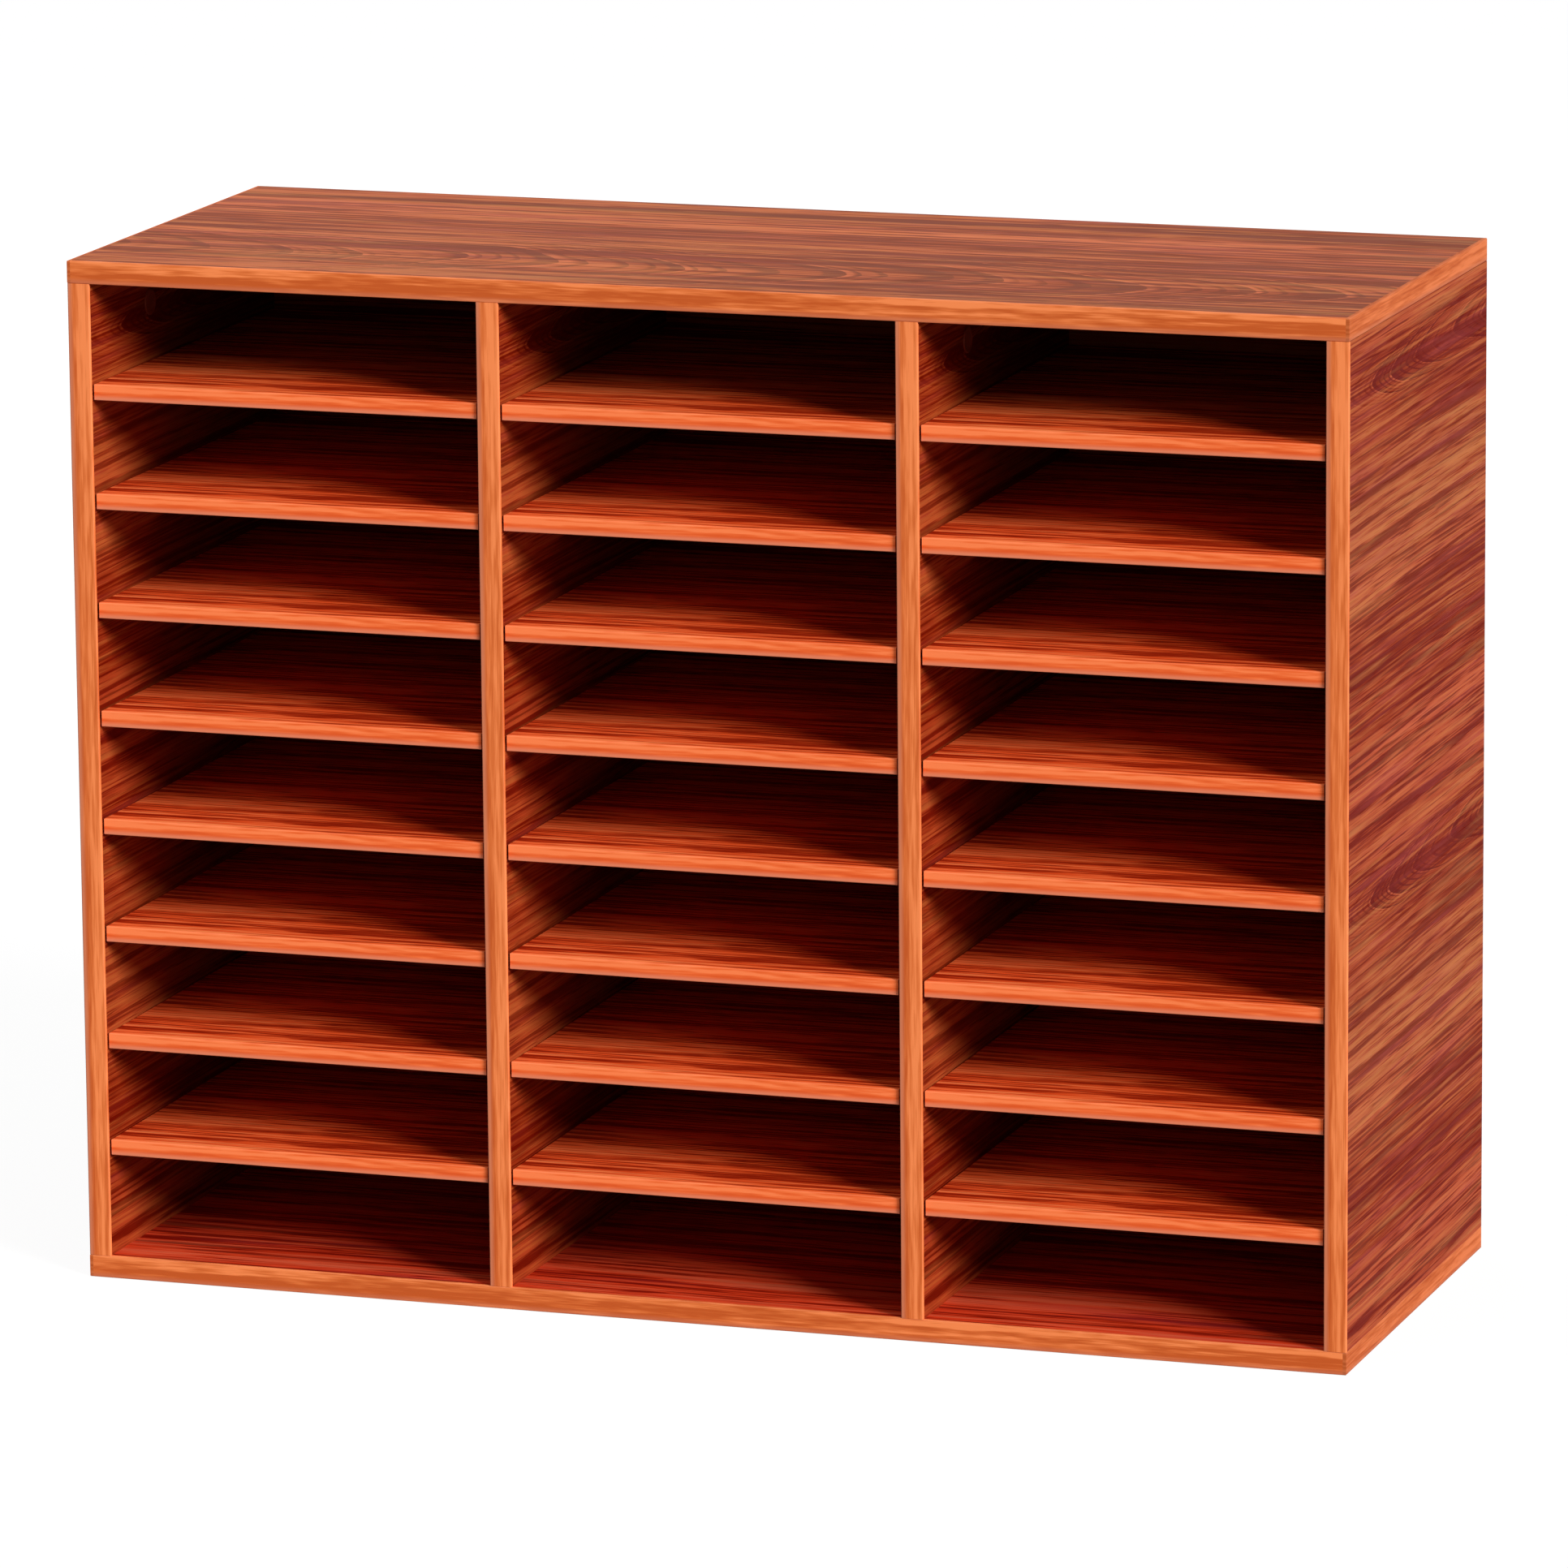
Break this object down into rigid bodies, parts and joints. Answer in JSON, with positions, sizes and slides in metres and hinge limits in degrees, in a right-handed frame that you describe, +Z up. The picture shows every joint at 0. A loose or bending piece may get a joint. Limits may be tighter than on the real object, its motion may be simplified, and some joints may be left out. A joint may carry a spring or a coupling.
{
  "type": "literature organizer",
  "caption": "Desktop literature organizer: open-front wood-print cabinet with dividers, whose columns of flat pockets are formed by loose shelves on pins that slide out of the front.",
  "frame": {"origin": "middle of the footprint, on the surface that the organizer stands on", "axes": "+X to the right along the width, +Y from the open front to the back, +Z up"},
  "size_m": [0.75, 0.293, 0.592],
  "materials": {
    "wood_print_laminate": "satin red-brown wood-print laminate on board",
    "edge_band": "satin orange-brown wood-print edge band",
    "hardboard": "dull brown hardboard",
    "nickel_steel": "bright nickel-plated steel",
    "zinc_cam": "die-cast zinc",
    "zinc_screw": "zinc-plated steel",
    "cover_cap": "matt red-brown plastic",
    "beech_dowel": "bare beech"
  },
  "bodies": {
    "cabinet": {"top_panel": "wood_print_laminate", "bottom_panel": "wood_print_laminate", "left_side_panel": "wood_print_laminate", "left_divider": "wood_print_laminate", "right_divider": "wood_print_laminate", "right_side_panel": "wood_print_laminate", "top_panel_edge_band": "edge_band", "bottom_panel_edge_band": "edge_band", "left_side_panel_edge_band": "edge_band", "left_divider_edge_band": "edge_band", "right_divider_edge_band": "edge_band", "right_side_panel_edge_band": "edge_band", "left_side_panel_shelf_pins": "nickel_steel", "left_divider_shelf_pins": "nickel_steel", "right_divider_shelf_pins": "nickel_steel", "right_side_panel_shelf_pins": "nickel_steel", "back_panel": "hardboard", "cam_locks": "zinc_cam", "cam_bolts": "nickel_steel", "base_screws": "zinc_screw", "cam_cover_caps": "cover_cap", "dowels": "beech_dowel"},
    "left_shelf_1": {"left_shelf_1": "wood_print_laminate"},
    "left_shelf_2": {"left_shelf_2": "wood_print_laminate"},
    "left_shelf_3": {"left_shelf_3": "wood_print_laminate"},
    "left_shelf_4": {"left_shelf_4": "wood_print_laminate"},
    "left_shelf_5": {"left_shelf_5": "wood_print_laminate"},
    "left_shelf_6": {"left_shelf_6": "wood_print_laminate"},
    "left_shelf_7": {"left_shelf_7": "wood_print_laminate"},
    "left_shelf_8": {"left_shelf_8": "wood_print_laminate"},
    "middle_shelf_1": {"middle_shelf_1": "wood_print_laminate"},
    "middle_shelf_2": {"middle_shelf_2": "wood_print_laminate"},
    "middle_shelf_3": {"middle_shelf_3": "wood_print_laminate"},
    "middle_shelf_4": {"middle_shelf_4": "wood_print_laminate"},
    "middle_shelf_5": {"middle_shelf_5": "wood_print_laminate"},
    "middle_shelf_6": {"middle_shelf_6": "wood_print_laminate"},
    "middle_shelf_7": {"middle_shelf_7": "wood_print_laminate"},
    "middle_shelf_8": {"middle_shelf_8": "wood_print_laminate"},
    "right_shelf_1": {"right_shelf_1": "wood_print_laminate"},
    "right_shelf_2": {"right_shelf_2": "wood_print_laminate"},
    "right_shelf_3": {"right_shelf_3": "wood_print_laminate"},
    "right_shelf_4": {"right_shelf_4": "wood_print_laminate"},
    "right_shelf_5": {"right_shelf_5": "wood_print_laminate"},
    "right_shelf_6": {"right_shelf_6": "wood_print_laminate"},
    "right_shelf_7": {"right_shelf_7": "wood_print_laminate"},
    "right_shelf_8": {"right_shelf_8": "wood_print_laminate"}
  },
  "joints": [
    {"name": "left_shelf_1_slide", "type": "slide", "parent": "cabinet", "child": "left_shelf_1", "axis": [0, -1, 0], "range_m": [0, 0.285]},
    {"name": "left_shelf_2_slide", "type": "slide", "parent": "cabinet", "child": "left_shelf_2", "axis": [0, -1, 0], "range_m": [0, 0.285]},
    {"name": "left_shelf_3_slide", "type": "slide", "parent": "cabinet", "child": "left_shelf_3", "axis": [0, -1, 0], "range_m": [0, 0.285]},
    {"name": "left_shelf_4_slide", "type": "slide", "parent": "cabinet", "child": "left_shelf_4", "axis": [0, -1, 0], "range_m": [0, 0.285]},
    {"name": "left_shelf_5_slide", "type": "slide", "parent": "cabinet", "child": "left_shelf_5", "axis": [0, -1, 0], "range_m": [0, 0.285]},
    {"name": "left_shelf_6_slide", "type": "slide", "parent": "cabinet", "child": "left_shelf_6", "axis": [0, -1, 0], "range_m": [0, 0.285]},
    {"name": "left_shelf_7_slide", "type": "slide", "parent": "cabinet", "child": "left_shelf_7", "axis": [0, -1, 0], "range_m": [0, 0.285]},
    {"name": "left_shelf_8_slide", "type": "slide", "parent": "cabinet", "child": "left_shelf_8", "axis": [0, -1, 0], "range_m": [0, 0.285]},
    {"name": "middle_shelf_1_slide", "type": "slide", "parent": "cabinet", "child": "middle_shelf_1", "axis": [0, -1, 0], "range_m": [0, 0.285]},
    {"name": "middle_shelf_2_slide", "type": "slide", "parent": "cabinet", "child": "middle_shelf_2", "axis": [0, -1, 0], "range_m": [0, 0.285]},
    {"name": "middle_shelf_3_slide", "type": "slide", "parent": "cabinet", "child": "middle_shelf_3", "axis": [0, -1, 0], "range_m": [0, 0.285]},
    {"name": "middle_shelf_4_slide", "type": "slide", "parent": "cabinet", "child": "middle_shelf_4", "axis": [0, -1, 0], "range_m": [0, 0.285]},
    {"name": "middle_shelf_5_slide", "type": "slide", "parent": "cabinet", "child": "middle_shelf_5", "axis": [0, -1, 0], "range_m": [0, 0.285]},
    {"name": "middle_shelf_6_slide", "type": "slide", "parent": "cabinet", "child": "middle_shelf_6", "axis": [0, -1, 0], "range_m": [0, 0.285]},
    {"name": "middle_shelf_7_slide", "type": "slide", "parent": "cabinet", "child": "middle_shelf_7", "axis": [0, -1, 0], "range_m": [0, 0.285]},
    {"name": "middle_shelf_8_slide", "type": "slide", "parent": "cabinet", "child": "middle_shelf_8", "axis": [0, -1, 0], "range_m": [0, 0.285]},
    {"name": "right_shelf_1_slide", "type": "slide", "parent": "cabinet", "child": "right_shelf_1", "axis": [0, -1, 0], "range_m": [0, 0.285]},
    {"name": "right_shelf_2_slide", "type": "slide", "parent": "cabinet", "child": "right_shelf_2", "axis": [0, -1, 0], "range_m": [0, 0.285]},
    {"name": "right_shelf_3_slide", "type": "slide", "parent": "cabinet", "child": "right_shelf_3", "axis": [0, -1, 0], "range_m": [0, 0.285]},
    {"name": "right_shelf_4_slide", "type": "slide", "parent": "cabinet", "child": "right_shelf_4", "axis": [0, -1, 0], "range_m": [0, 0.285]},
    {"name": "right_shelf_5_slide", "type": "slide", "parent": "cabinet", "child": "right_shelf_5", "axis": [0, -1, 0], "range_m": [0, 0.285]},
    {"name": "right_shelf_6_slide", "type": "slide", "parent": "cabinet", "child": "right_shelf_6", "axis": [0, -1, 0], "range_m": [0, 0.285]},
    {"name": "right_shelf_7_slide", "type": "slide", "parent": "cabinet", "child": "right_shelf_7", "axis": [0, -1, 0], "range_m": [0, 0.285]},
    {"name": "right_shelf_8_slide", "type": "slide", "parent": "cabinet", "child": "right_shelf_8", "axis": [0, -1, 0], "range_m": [0, 0.285]}
  ]
}
